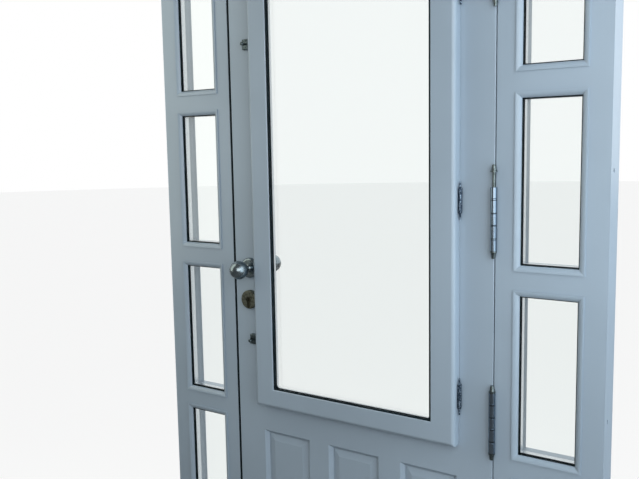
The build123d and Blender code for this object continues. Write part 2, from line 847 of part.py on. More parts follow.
def escutcheon():
    t, r, e = escutcheon_thickness, escutcheon_radius, escutcheon_round
    outline = Polyline((0, 0), (r, 0), (r, -t + e))
    outline += RadiusArc((r, -t + e), (r - e, -t), e)
    outline += Polyline((r - e, -t), (0, -t), (0, 0))
    return turned(outline, knob_x, cylinder_z) - cylinder_profile(cylinder_fit, -t - 1, 1)


def keyway(y0, y1):
    return block(knob_x - keyway_width / 2, knob_x + keyway_width / 2, y0, y1,
                 cylinder_z - keyway_height / 2, cylinder_z + keyway_height / 2)


def lock_cylinder():
    front = 1 - escutcheon_thickness
    back = leaf_thickness - front
    body = cylinder_profile(0, front, back)
    body -= rod(plug_radius + pin_clearance, knob_x, cylinder_z, front - 1,
                front + plug_length + 0.3)
    return body - keyway(back - keyway_depth, back + 1)


def cylinder_plug():
    front = 1 - escutcheon_thickness
    plug = rod(plug_radius, knob_x, cylinder_z, front - plug_proud, front + plug_length)
    return plug - keyway(front - plug_proud - 1, front + keyway_depth)


# Sash catches

def catch_channel(z, extra):
    half_y = catch_bolt_thickness / 2 + extra
    half_z = catch_bolt_height / 2 + extra
    return block(catch_left + catch_wall, catch_right + 1, catch_bolt_y - half_y,
                 catch_bolt_y + half_y, z - half_z, z + half_z)


def catch_stem_x():
    return catch_left + catch_stem_set_back


def catch_case(z):
    case = block(catch_left, catch_right, -catch_case_depth, 0, z - catch_case_height / 2,
                 z + catch_case_height / 2)
    front = [e for e in case.edges() if abs(e.center().Y + catch_case_depth) < 0.01]
    case = fillet(front, catch_round)
    case -= catch_channel(z, catch_fit)
    x = catch_stem_x()
    slot = catch_stem_radius + catch_fit
    case -= block(x - catch_travel - slot, x + slot, -catch_case_depth - 1, catch_bolt_y,
                  z - slot, z + slot)
    for screw in catch_screws(z, screw_clearance):
        case -= screw
    return case


def catch_screws(z, extra=0.0):
    rise = catch_case_height / 2 - catch_screw_end
    return [screw_y(catch_stem_x(), -catch_case_depth, z + side * rise,
                    catch_screw_head + extra, catch_screw_radius + extra,
                    catch_screw_length + catch_case_depth + extra)
            for side in (-1, 1)]


def catch_bolt(z):
    x0 = catch_left + catch_wall + catch_travel + 0.5
    x1 = sash_left + catch_reach
    y0, y1 = catch_bolt_y - catch_bolt_thickness / 2, catch_bolt_y + catch_bolt_thickness / 2
    points = [(x0, y0), (x1 - 3.5, y0), (x1, y1 - 1.5), (x1, y1), (x0, y1)]
    bolt = upright(points, z - catch_bolt_height / 2, z + catch_bolt_height / 2)
    tip = -catch_knob_reach
    outline = Polyline((0, catch_bolt_y), (catch_stem_radius, catch_bolt_y),
                       (catch_stem_radius, tip + 6), (catch_knob_radius, tip + 4.5),
                       (catch_knob_radius, tip + 1.5), (catch_knob_radius - 1.5, tip), (0, tip),
                       close=True)
    return bolt + turned(outline, catch_stem_x(), z)


def keeper_cut(z, depth):
    half_y = catch_bolt_thickness / 2 + catch_fit
    half_z = catch_bolt_height / 2 + catch_fit
    return block(sash_left - 1, sash_left + depth, catch_bolt_y - half_y, catch_bolt_y + half_y,
                 z - half_z, z + half_z)


def keeper_blank(z):
    return block(sash_left, sash_left + keeper_thickness, -catch_case_depth,
                 -sash_seat_gap, z - keeper_height / 2, z + keeper_height / 2)


# Assembly

def cut_all(shape, tools):
    for tool in tools:
        shape -= tool
    return shape


def right_mullion():
    cuts = [plate_recess(z, 1) for z in hinge_heights]
    cuts += [screw for z in hinge_heights for screw in hinge_screws(z, 1, screw_clearance)]
    return cut_all(mullion(), cuts)


def left_mullion():
    cuts = [strike_blank()] + strike_holes(pocket_depth) + strike_screws(screw_clearance)
    return cut_all(mirrored(mullion()), cuts)


def lock_stile(stile):
    fit = lock_case_fit
    half = lock_case_thickness / 2 + fit
    face = faceplate_width / 2
    y = lock_centre_depth
    cuts = [block(leaf_left - 1, case_front, y - face, y + face,
                  faceplate_z - faceplate_height / 2, faceplate_z + faceplate_height / 2),
            block(case_front - 1, case_back + fit, y - half, y + half,
                  faceplate_z - case_half_height - fit,
                  faceplate_z + case_half_height + fit),
            rod(spindle_hole_radius, knob_x, knob_height, -1, leaf_thickness + 1),
            cylinder_profile(lock_case_fit, -1, leaf_thickness + 1)]
    cuts += faceplate_screws(screw_clearance)
    cuts += [screw for z in catch_heights for screw in catch_screws(z, screw_clearance)]
    return cut_all(stile, cuts)


def hinge_stile(stile):
    cuts = [plate_recess(z, -1) for z in hinge_heights]
    cuts += [screw for z in hinge_heights for screw in hinge_screws(z, -1, screw_clearance)]
    cuts += [sash_hinge_fixed(z) for z in sash_hinge_heights]
    return cut_all(stile, cuts)


def frame_nodes():
    nodes = {
        "head_rail": head_rail(),
        "threshold": threshold(),
        "left_jamb": mirrored(jamb()),
        "right_jamb": jamb(),
        "left_mullion": left_mullion(),
        "right_mullion": right_mullion(),
    }
    top = cross_rail(last_pane_top, doorway_top, bead_width, 0)
    bottom = cross_rail(threshold_height, first_pane, 0, bead_width)
    right = {"top_rail": [top], "bottom_rail": [bottom], "glazing_bars": glazing_bars(),
             "glass": sidelight_glass(), "beads": sidelight_beads()}
    for name, solids in right.items():
        nodes["right_" + name] = solids
        nodes["left_" + name] = [mirrored(s) for s in solids]
    for name, solids in (("sidelight_spacers", sidelight_spacers()),
                         ("sidelight_gaskets", sidelight_gaskets())):
        nodes[name] = solids + [mirrored(s) for s in solids]
    nodes["frame_seal"] = frame_seal()
    nodes["strike_plate"] = strike_plate()
    nodes["frame_hinge_plates"] = [hinge_half(z, 1) for z in hinge_heights]
    nodes["hinge_pins"] = hinge_pins()
    nodes["frame_screws"] = [s for z in hinge_heights for s in hinge_screws(z, 1)]
    nodes["frame_screws"] += strike_screws()
    return nodes


def leaf_nodes():
    nodes = leaf_members(leaf_blank())
    nodes["lock_stile"] = lock_stile(nodes["lock_stile"])
    nodes["hinge_stile"] = hinge_stile(nodes["hinge_stile"])
    for name, x in zip(("left_panel", "centre_panel", "right_panel"), panel_lefts()):
        nodes[name] = raised_panel(x)
    nodes["leaf_hinge_plates"] = [hinge_half(z, -1) for z in hinge_heights]
    nodes["leaf_screws"] = [s for z in hinge_heights for s in hinge_screws(z, -1)]
    nodes["leaf_screws"] += faceplate_screws()
    nodes["lock_case"] = lock_body()
    nodes["knob_roses"] = [rose(), to_outdoors(rose())]
    nodes["escutcheons"] = [escutcheon(), to_outdoors(escutcheon())]
    nodes["lock_cylinder"] = lock_cylinder()
    nodes["catch_cases"] = [catch_case(z) for z in catch_heights]
    nodes["catch_screws"] = [s for z in catch_heights for s in catch_screws(z)]
    nodes["fixed_sash_hinges"] = [sash_hinge_fixed(z) for z in sash_hinge_heights]
    nodes["sash_hinge_pins"] = [sash_hinge_pin(z) for z in sash_hinge_heights]
    return nodes


def sash_nodes():
    nodes = sash_pieces(sash_blank())
    cuts = [keeper_blank(z) for z in catch_heights]
    cuts += [keeper_cut(z, catch_reach + 2) for z in catch_heights]
    nodes["sash_lock_stile"] = cut_all(nodes["sash_lock_stile"], cuts)
    moving = [sash_hinge_moving(z) for z in sash_hinge_heights]
    nodes["sash_hinge_stile"] = cut_all(nodes["sash_hinge_stile"], moving)
    nodes["sash_beads"] = sash_beads()
    nodes["sash_glass"] = sash_glass()
    nodes["sash_spacer"] = sash_spacer()
    nodes["sash_gasket"] = sash_gasket()
    nodes["sash_hinge_plates"] = moving
    nodes["catch_keepers"] = [keeper_blank(z) - keeper_cut(z, catch_reach)
                              for z in catch_heights]
    return nodes


def moving_nodes():
    return {
        "inner_knob": knob(),
        "outer_knob": to_outdoors(knob()),
        "knob_spindle": spindle(),
        "latch_bolt": latch_bolt(),
        "deadbolt": deadbolt(),
        "cylinder_plug": cylinder_plug(),
        "lower_catch_bolt": catch_bolt(catch_heights[0]),
        "upper_catch_bolt": catch_bolt(catch_heights[1]),
    }


def write_parts():
    os.makedirs("parts", exist_ok=True)
    for make in (frame_nodes, leaf_nodes, sash_nodes, moving_nodes):
        for name, shape in make().items():
            solids = shape if isinstance(shape, list) else [shape]
            body = solids[0] if len(solids) == 1 else Compound(children=solids)
            export_step(body, f"parts/{name}.step")


write_parts()
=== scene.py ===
"""Finishes, fittings, camera and light for a glazed door between two sidelights."""

import json
from math import cos, radians, sin

import bmesh
import bpy
from mathutils import Matrix, Vector


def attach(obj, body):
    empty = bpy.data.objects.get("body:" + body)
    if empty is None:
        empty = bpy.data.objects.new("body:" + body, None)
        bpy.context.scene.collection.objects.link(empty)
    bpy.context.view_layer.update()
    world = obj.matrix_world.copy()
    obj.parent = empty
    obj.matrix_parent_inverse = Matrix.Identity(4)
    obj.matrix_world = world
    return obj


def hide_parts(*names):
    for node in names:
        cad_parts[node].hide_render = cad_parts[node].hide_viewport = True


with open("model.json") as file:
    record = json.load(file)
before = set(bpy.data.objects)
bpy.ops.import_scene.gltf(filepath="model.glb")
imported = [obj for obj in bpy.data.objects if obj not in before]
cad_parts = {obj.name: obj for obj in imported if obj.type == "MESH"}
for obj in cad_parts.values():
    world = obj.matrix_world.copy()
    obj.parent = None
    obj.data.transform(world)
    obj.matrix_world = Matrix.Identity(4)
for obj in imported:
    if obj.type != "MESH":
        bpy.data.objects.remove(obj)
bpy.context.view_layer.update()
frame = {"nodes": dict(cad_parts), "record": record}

bl_info = {
    "name": "Glazed Door Set",
    "version": (1, 0, 0),
    "blender": (4, 5, 0),
    "location": "3D View > Sidebar > Door Set",
    "description": "Paints, glazes and lights a door leaf between two sidelights",
    "category": "Object",
}

# Lengths in metres, and the angle from which an edge is sharp

MM = 0.001
WELD = 0.001 * MM
FLAT = 0.0001 * MM
SMOOTH_ANGLE = radians(30)

# How far each axis is stretched in a pattern: a smaller number draws the pattern out

EVEN = (1, 1, 1)
UPRIGHT_BRUSH = (150, 150, 5)
LEVEL_BRUSH = (5, 150, 150)
BEAD_BRUSH = (110, 110, 60)
GLASS_DRAW = (1, 1, 0.4)
FLECK_DRAW = (1, 1, 0.7)
STEEL_GRAIN = (1, 1, 0.1)

# The span of a pattern's values over which a finish changes

NOISE_SPAN = (0.3, 0.7)
STREAK_SPAN = (0.52, 0.80)
OPENNESS_SPAN = (0.15, 0.85)
BLOOM_SPAN = (0.45, 0.75)
TARNISH_SPAN = (0.42, 0.72)
GLOSS_SPAN = (0.35, 0.75)
FLECK_SPAN = (0.51, 0.58)
PIT_SPAN = (0.12, 0.22)
RING_SPAN = (0.6 * MM, 1.4 * MM)

# A distance well beyond the edge of a ring

FAR = 1.0

# The span of a direction's part along an axis over which the light changes

SIDE_SPAN = (0.2, 0.95)
RISE_SPAN = (-0.6, 0.7)
OUTWARD_SPAN = (-0.15, 0.35)

# Depths of fine scratches in metal, and of the paint's peel as a share of its brush marks

SCRATCH = 0.01 * MM
FINE_SCRATCH = 0.001 * MM
PEEL_SHARE = 0.3

# How roughness varies over a finish: added to that of paint, multiplied with that of metal

PAINT_SHEEN = (-0.02, 0.03)
METAL_SHEEN = (0.8, 1.35)

# Screws

SCREW_SIDES = 24
POINT_SHARE = 0.15
RECESS_TAPER = 0.8
END_REACH = 0.1 * MM

# Stage

FLOOR_RADIUS = 30
FLOOR_SIDES = 96
LAMP_AIM = Vector((0, 0, 1.15))
SKY = (0.97, 0.99, 1.0)
WHITE = (1.0, 1.0, 1.0)

# Which nodes take which finish

UPRIGHT_TIMBER = (
    "left_jamb", "right_jamb", "left_mullion", "right_mullion",
    "lock_stile", "hinge_stile", "leaf_muntins",
    "left_panel", "centre_panel", "right_panel",
    "sash_lock_stile", "sash_hinge_stile",
)
LEVEL_TIMBER = (
    "head_rail", "threshold",
    "left_top_rail", "left_bottom_rail", "left_glazing_bars",
    "right_top_rail", "right_bottom_rail", "right_glazing_bars",
    "leaf_top_rail", "leaf_lock_rail", "leaf_bottom_rail",
    "sash_top_rail", "sash_bottom_rail",
)
BEAD_TIMBER = ("left_beads", "right_beads", "sash_beads")
GLASS_NODES = ("left_glass", "right_glass", "sash_glass")
RUBBER_NODES = ("sidelight_gaskets", "sash_gasket", "frame_seal")
SPACER_NODES = ("sidelight_spacers", "sash_spacer")
HINGE_NODES = ("frame_hinge_plates", "leaf_hinge_plates")
PIN_NODES = ("hinge_pins",)
SASH_HINGE_NODES = ("fixed_sash_hinges", "sash_hinge_plates", "sash_hinge_pins")
CATCH_NODES = ("catch_cases", "catch_keepers", "upper_catch_bolt", "lower_catch_bolt")
CHROME_NODES = ("inner_knob", "outer_knob", "knob_roses")
BRONZE_NODES = ("escutcheons",)
BRASS_NODES = ("lock_cylinder", "cylinder_plug")
STEEL_NODES = ("lock_case", "latch_bolt", "deadbolt", "strike_plate", "knob_spindle")


# Properties

class PaintSettings(bpy.types.PropertyGroup):
    colour: bpy.props.FloatVectorProperty(
        name="Paint", description="Colour of the satin paint", subtype="COLOR", size=3,
        min=0, max=1, default=(0.345, 0.43, 0.52))
    shade: bpy.props.FloatProperty(
        name="Patchiness", description="How much the paint's tone varies", subtype="FACTOR",
        min=0, max=0.5, default=0.05)
    streak: bpy.props.FloatProperty(
        name="Brush streaks", description="How much tone the brush streaks carry",
        subtype="FACTOR", min=0, max=0.5, default=0.015)
    # Painted shade in the inner corners: how dark it gets and how far it reaches
    painted_shade_share: bpy.props.FloatProperty(
        name="Painted shade in corners", description="How dark the painted shade in the inner corners is",
        subtype="FACTOR", min=0, max=1, default=0.35)
    painted_shade_reach: bpy.props.FloatProperty(
        name="Painted shade reach", description="How far the painted shade reaches from a corner",
        unit="LENGTH", min=1 * MM, max=100 * MM, default=12 * MM)
    roughness: bpy.props.FloatProperty(
        name="Roughness", description="Roughness of the satin paint", subtype="FACTOR",
        min=0, max=1, default=0.33)
    brush_depth: bpy.props.FloatProperty(
        name="Brush depth", description="Height of the brush marks", unit="LENGTH",
        min=0, max=1 * MM, default=0.01 * MM)


class GlazingSettings(bpy.types.PropertyGroup):
    tint: bpy.props.FloatVectorProperty(
        name="Glass tint", description="Colour of light that has passed one sheet",
        subtype="COLOR", size=3, min=0, max=1, default=(0.965, 0.985, 0.98))
    rubber: bpy.props.FloatVectorProperty(
        name="Gasket", description="Colour of the rubber", subtype="COLOR", size=3,
        min=0, max=1, default=(0.003, 0.009, 0.013))
    spacer: bpy.props.FloatVectorProperty(
        name="Spacer", description="Colour of the spacer bar", subtype="COLOR", size=3,
        min=0, max=1, default=(0.72, 0.76, 0.80))


class MetalSettings(bpy.types.PropertyGroup):
    knuckles: bpy.props.IntProperty(
        name="Knuckles", description="Number of knuckles in each hinge of the leaf",
        min=3, max=9, default=5)
    hinge: bpy.props.FloatVectorProperty(
        name="Hinges", description="Colour of the zinc-plated steel", subtype="COLOR", size=3,
        min=0, max=1, default=(0.21, 0.27, 0.34))
    pins: bpy.props.FloatVectorProperty(
        name="Hinge pins", description="Colour of the pins and their finials", subtype="COLOR",
        size=3, min=0, max=1, default=(0.14, 0.17, 0.175))
    sash_hinge: bpy.props.FloatVectorProperty(
        name="Sash hinges", description="Colour of the sash hinges between their bright flecks",
        subtype="COLOR", size=3, min=0, max=1, default=(0.025, 0.04, 0.065))
    iron: bpy.props.FloatVectorProperty(
        name="Catches", description="Colour of the dark iron", subtype="COLOR", size=3,
        min=0, max=1, default=(0.13, 0.17, 0.185))
    chrome: bpy.props.FloatVectorProperty(
        name="Knob", description="Colour of the chrome plate", subtype="COLOR", size=3,
        min=0, max=1, default=(0.23, 0.28, 0.31))
    bronze: bpy.props.FloatVectorProperty(
        name="Escutcheon", description="Colour of the aged bronze", subtype="COLOR", size=3,
        min=0, max=1, default=(0.18, 0.19, 0.155))
    brass: bpy.props.FloatVectorProperty(
        name="Cylinder", description="Colour of the dull brass", subtype="COLOR", size=3,
        min=0, max=1, default=(0.08, 0.078, 0.055))
    steel: bpy.props.FloatVectorProperty(
        name="Lock", description="Colour of the plain steel", subtype="COLOR", size=3,
        min=0, max=1, default=(0.48, 0.50, 0.52))


class ScrewSettings(bpy.types.PropertyGroup):
    recess_width: bpy.props.FloatProperty(
        name="Recess width", description="Width of each arm of the cross recess",
        unit="LENGTH", min=0.2 * MM, max=4 * MM, default=1.2 * MM)
    recess_reach: bpy.props.FloatProperty(
        name="Recess reach", description="Length of an arm as a share of the head's radius",
        subtype="FACTOR", min=0.1, max=0.95, default=0.62)
    recess_depth: bpy.props.FloatProperty(
        name="Recess depth", description="Depth of the cross recess", unit="LENGTH",
        min=0.2 * MM, max=4 * MM, default=1.4 * MM)


class StudioSettings(bpy.types.PropertyGroup):
    front_power: bpy.props.FloatProperty(
        name="Front light", description="Power of the broad light round the camera",
        unit="POWER", min=0, max=1000, default=18.5)
    right_power: bpy.props.FloatProperty(
        name="Right light", description="Power of the tall light on the right", unit="POWER",
        min=0, max=1000, default=15.5)
    left_power: bpy.props.FloatProperty(
        name="Left light", description="Power of the narrow light on the left", unit="POWER",
        min=0, max=1000, default=6.5)
    room_left: bpy.props.FloatProperty(
        name="Room, left", description="Brightness of the room on the left", min=0, max=2,
        default=0.17)
    room_right: bpy.props.FloatProperty(
        name="Room, right", description="Brightness of the room on the right", min=0, max=2,
        default=0.5)
    room_below: bpy.props.FloatProperty(
        name="Room, below", description="Brightness below as a share of that above",
        subtype="FACTOR", min=0, max=1, default=0.3)
    outdoors: bpy.props.FloatProperty(
        name="Outdoors", description="Brightness of the far side's surroundings", min=0, max=2,
        default=1.3)
    paleness: bpy.props.FloatProperty(
        name="Paleness", description="How far the floor fades into the white", subtype="FACTOR",
        min=0, max=1, default=0.78)
    floor: bpy.props.FloatVectorProperty(
        name="Floor", description="Colour of the floor", subtype="COLOR", size=3,
        min=0, max=1, default=(0.88, 0.88, 0.87))
    camera_place: bpy.props.FloatVectorProperty(
        name="Camera", description="Where the camera stands", subtype="XYZ", unit="LENGTH",
        size=3, default=(1.06975, -1.700, 1.384))
    camera_turn: bpy.props.FloatProperty(
        name="Turn", description="Camera's turn to the left", subtype="ANGLE",
        default=radians(34.434))
    camera_dip: bpy.props.FloatProperty(
        name="Dip", description="Camera's dip below level", subtype="ANGLE",
        default=radians(6.621))
    camera_roll: bpy.props.FloatProperty(
        name="Roll", description="Camera's roll about its line of sight", subtype="ANGLE",
        default=radians(1.0034))
    lens: bpy.props.FloatProperty(
        name="Lens", description="Focal length of the camera", unit="CAMERA", min=10,
        max=300, default=43.211)


# Material building blocks

def new_material(name):
    """An empty material: (material, its tree of nodes, its shader)."""
    material = bpy.data.materials.new(name)
    material.use_nodes = True
    tree = material.node_tree
    tree.nodes.clear()
    output = tree.nodes.new("ShaderNodeOutputMaterial")
    shader = tree.nodes.new("ShaderNodeBsdfPrincipled")
    tree.links.new(shader.outputs["BSDF"], output.inputs["Surface"])
    return material, tree, shader


def feed(tree, node, values):
    """Link or set the sockets of a node, which are given by name or place."""
    for key, value in values.items():
        socket = node.inputs[key]
        if isinstance(value, bpy.types.NodeSocket):
            tree.links.new(value, socket)
        elif socket.type == "RGBA":
            socket.default_value = (*value, 1.0)
        else:
            socket.default_value = value


def object_coordinates(tree, stretch):
    """Object coordinates, stretched so that a pattern runs along an axis."""
    place = tree.nodes.new("ShaderNodeTexCoord")
    mapping = tree.nodes.new("ShaderNodeMapping")
    feed(tree, mapping, {"Vector": place.outputs["Object"], "Scale": stretch})
    return mapping.outputs["Vector"]


def noise(tree, vector, scale, detail, roughness=0.55):
    """A cloudy pattern with values from 0 to 1, mostly near 0.5."""
    texture = tree.nodes.new("ShaderNodeTexNoise")
    feed(tree, texture, {
        "Vector": vector, "Scale": scale, "Detail": detail, "Roughness": roughness})
    return texture.outputs["Fac"]


def remap(tree, value, span, low=0.0, high=1.0):
    """Map a pattern's values across a span to the range from low to high."""
    mapper = tree.nodes.new("ShaderNodeMapRange")
    mapper.interpolation_type = "SMOOTHSTEP"
    feed(tree, mapper, {"Value": value, "From Min": span[0], "From Max": span[1],
                        "To Min": low, "To Max": high})
    return mapper.outputs["Result"]


def calculate(tree, operation, *values):
    """One step of arithmetic on patterns and numbers."""
    maths = tree.nodes.new("ShaderNodeMath")
    maths.operation = operation
    feed(tree, maths, dict(enumerate(values)))
    return maths.outputs["Value"]


def mix(tree, data, socket_type, factor, first, second):
    """Mix two values by a factor. The node has unused sockets of other types."""
    mixer = tree.nodes.new("ShaderNodeMix")
    mixer.data_type = data
    fitting = [i for i, socket in enumerate(mixer.inputs) if socket.type == socket_type]
    feed(tree, mixer, {"Factor": factor, fitting[-2]: first, fitting[-1]: second})
    return next(socket for socket in mixer.outputs if socket.type == socket_type)


def mix_colours(tree, factor, first, second):
    return mix(tree, "RGBA", "RGBA", factor, first, second)


def mix_numbers(tree, factor, first, second):
    return mix(tree, "FLOAT", "VALUE", factor, first, second)


def scaled(colour, factor):
    """A colour made lighter or darker, each channel kept to 1 or less."""
    return tuple(min(1.0, channel * factor) for channel in colour)


def bump(tree, height, distance, strength=1.0, below=None):
    """Relief from a pattern of heights, on top of the relief below."""
    relief = tree.nodes.new("ShaderNodeBump")
    feed(tree, relief, {"Height": height, "Distance": distance, "Strength": strength})
    if below is not None:
        feed(tree, relief, {"Normal": below})
    return relief.outputs["Normal"]


def openness(tree, reach):
    """1 on open surfaces, falling towards 0 in tight corners."""
    occlusion = tree.nodes.new("ShaderNodeAmbientOcclusion")
    occlusion.samples = 8
    feed(tree, occlusion, {"Distance": reach})
    return occlusion.outputs["AO"]


# Finishes

def painted_timber(name, paint, stretch):
    """Satin paint brushed along the length of the timber."""
    material, tree, shader = new_material(name)
    even = object_coordinates(tree, EVEN)
    patches = noise(tree, even, scale=2.3, detail=3.0)
    streaks = noise(tree, object_coordinates(tree, stretch), scale=1.0, detail=5.0,
                    roughness=0.62)
    peel = noise(tree, even, scale=420.0, detail=2.0)
    dark = scaled(paint.colour, 1 - paint.shade)
    light = scaled(paint.colour, 1 + paint.shade)
    streak = scaled(paint.colour, 1 - 2 * paint.streak)
    # Painted shade: a darker copy of the paint, mixed in where corners are shaded
    painted_shade_colour = scaled(paint.colour, 0.45)
    tone = mix_colours(tree, remap(tree, patches, NOISE_SPAN), dark, light)
    tone = mix_colours(tree, remap(tree, streaks, STREAK_SPAN, high=0.5), tone, streak)
    # Painted shade in inner corners and creases, taken from ambient occlusion
    corner_shade_mask = remap(tree, openness(tree, paint.painted_shade_reach), OPENNESS_SPAN, low=paint.painted_shade_share, high=0.0)
    tone = mix_colours(tree, corner_shade_mask, tone, painted_shade_colour)
    gloss = remap(tree, streaks, NOISE_SPAN, low=paint.roughness + PAINT_SHEEN[0],
                  high=paint.roughness + PAINT_SHEEN[1])
    marks = bump(tree, streaks, paint.brush_depth)
    relief = bump(tree, peel, paint.brush_depth * PEEL_SHARE, below=marks)
    feed(tree, shader, {"Base Color": tone, "Roughness": gloss, "Normal": relief})
    return material


def clear_glass(name, tint):
    """Float glass with a faint waviness."""
    material, tree, shader = new_material(name)
    waves = noise(tree, object_coordinates(tree, GLASS_DRAW), scale=3.0, detail=1.0)
    feed(tree, shader, {
        "Base Color": tint, "Transmission Weight": 1.0, "Roughness": 0.0, "IOR": 1.5,
        "Normal": bump(tree, waves, distance=0.2 * MM, strength=0.3)})
    return material


def black_rubber(name, colour):
    """Dull rubber with a paler bloom in patches."""
    material, tree, shader = new_material(name)
    even = object_coordinates(tree, EVEN)
    grain = noise(tree, even, scale=900.0, detail=3.0)
    bloom = noise(tree, even, scale=14.0, detail=4.0)
    pale = scaled(colour, 2.6)
    tone = mix_colours(tree, remap(tree, bloom, BLOOM_SPAN, high=0.6), colour, pale)
    feed(tree, shader, {
        "Base Color": tone, "Roughness": 0.62, "Specular IOR Level": 0.2,
        "Normal": bump(tree, grain, distance=0.05 * MM)})
    return material


def nearest_height(tree, heights):
    """Distance in metres, up or down, to the nearest of several heights."""
    split = tree.nodes.new("ShaderNodeSeparateXYZ")
    feed(tree, split, {"Vector": object_coordinates(tree, EVEN)})
    nearest = FAR
    for height in heights:
        away = calculate(tree, "SUBTRACT", split.outputs["Z"], height)
        nearest = calculate(tree, "MINIMUM", calculate(tree, "ABSOLUTE", away), nearest)
    return nearest


def metal(name, colour, roughness, patch_scale, tarnish, stretch=EVEN, scratch=SCRATCH,
          rings=()):
    """Metal with tarnish in patches, fine lines along the stretch and painted shade in dark rings
    at heights.
    """
    material, tree, shader = new_material(name)
    lines = noise(tree, object_coordinates(tree, stretch), scale=700.0, detail=3.0,
                  roughness=0.6)
    patches = noise(tree, object_coordinates(tree, EVEN), scale=patch_scale, detail=5.0,
                    roughness=0.6)
    dull = scaled(colour, 1 - tarnish)
    tone = mix_colours(tree, remap(tree, patches, TARNISH_SPAN), colour, dull)
    if rings:
        # Painted shade: a dark ring at each joint between the knuckles, where shade falls
        joint_shade_colour = scaled(colour, 0.1)
        painted_shade_share = remap(tree, nearest_height(tree, rings), RING_SPAN, low=0.9, high=0.0)
        tone = mix_colours(tree, painted_shade_share, tone, joint_shade_colour)
    gloss = remap(tree, patches, GLOSS_SPAN, low=roughness * METAL_SHEEN[0],
                  high=roughness * METAL_SHEEN[1])
    feed(tree, shader, {
        "Base Color": tone, "Metallic": 1.0, "Roughness": gloss,
        "Normal": bump(tree, lines, scratch)})
    return material


def speckled_metal(name, dark, bright):
    """Dark iron with bright worn flecks."""
    material, tree, shader = new_material(name)
    flecks = noise(tree, object_coordinates(tree, FLECK_DRAW), scale=430.0, detail=3.0,
                   roughness=0.6)
    tone = mix_colours(tree, remap(tree, flecks, FLECK_SPAN), dark, bright)
    feed(tree, shader, {
        "Base Color": tone, "Metallic": 1.0, "Roughness": 0.5,
        "Normal": bump(tree, flecks, distance=0.1 * MM)})
    return material


def perforated_spacer(name, colour):
    """A mill-finished bar with fine holes."""
    material, tree, shader = new_material(name)
    holes = tree.nodes.new("ShaderNodeTexVoronoi")
    feed(tree, holes, {"Vector": object_coordinates(tree, EVEN), "Scale": 260.0})
    pits = remap(tree, holes.outputs["Distance"], PIT_SPAN)
    tone = mix_colours(tree, pits, scaled(colour, 0.35), colour)
    feed(tree, shader, {
        "Base Color": tone, "Metallic": 1.0, "Roughness": 0.34,
        "Normal": bump(tree, pits, distance=0.2 * MM)})
    return material


# Helpers for objects

def dress(names, material):
    """Give CAD nodes a finish."""
    for name in names:
        for slot in frame["nodes"][name].material_slots:
            slot.material = material


def body_of(node):
    """The body that a CAD node belongs to."""
    bodies = frame["record"]["behaviour"]["bodies"]
    return next(body for body, members in bodies.items() if node in members)


def islands(node):
    """Lists of points, one for each separate solid of a CAD node."""
    mesh = bmesh.new()
    mesh.from_mesh(frame["nodes"][node].data)
    bmesh.ops.remove_doubles(mesh, verts=mesh.verts, dist=WELD)
    found, seen = [], set()
    for start in mesh.verts:
        if start in seen:
            continue
        group, front = [], [start]
        seen.add(start)
        while front:
            vertex = front.pop()
            group.append(vertex.co.copy())
            for edge in vertex.link_edges:
                other = edge.other_vert(vertex)
                if other not in seen:
                    seen.add(other)
                    front.append(other)
        found.append(group)
    mesh.free()
    return found


def knuckle_joints(count):
    """Heights of the joints between the knuckles of the hinges that carry the leaf."""
    heights = []
    for points in islands("frame_hinge_plates"):
        low = min(point.z for point in points)
        high = max(point.z for point in points)
        heights += [low + (high - low) * i / count for i in range(1, count)]
    return heights


def finished_piece(name, mesh, material, body):
    """Turn a bmesh into a piece that rides on a body."""
    bmesh.ops.recalc_face_normals(mesh, faces=mesh.faces)
    data = bpy.data.meshes.new(name)
    mesh.to_mesh(data)
    mesh.free()
    data.materials.append(material)
    piece = bpy.data.objects.new(name, data)
    bpy.context.scene.collection.objects.link(piece)
    data.shade_smooth()
    data.set_sharp_from_angle(angle=SMOOTH_ANGLE)
    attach(piece, body)
    return piece


# Operators

class DOORSET_OT_paint_timber(bpy.types.Operator):
    """Paint the frame, the leaf, the sash and their beads"""
    bl_idname = "doorset.paint_timber"
    bl_label = "Paint Timber"

    def execute(self, context):
        paint = context.scene.doorset_paint
        dress(UPRIGHT_TIMBER, painted_timber("paint_upright", paint, UPRIGHT_BRUSH))
        dress(LEVEL_TIMBER, painted_timber("paint_level", paint, LEVEL_BRUSH))
        dress(BEAD_TIMBER, painted_timber("paint_beads", paint, BEAD_BRUSH))
        return {"FINISHED"}


class DOORSET_OT_glaze(bpy.types.Operator):
    """Finish the sealed units, their spacers and the rubber gaskets"""
    bl_idname = "doorset.glaze"
    bl_label = "Glaze"

    def execute(self, context):
        glazing = context.scene.doorset_glazing
        dress(GLASS_NODES, clear_glass("float_glass", glazing.tint))
        dress(RUBBER_NODES, black_rubber("gasket_rubber", glazing.rubber))
        dress(SPACER_NODES, perforated_spacer("spacer_bar", glazing.spacer))
        return {"FINISHED"}


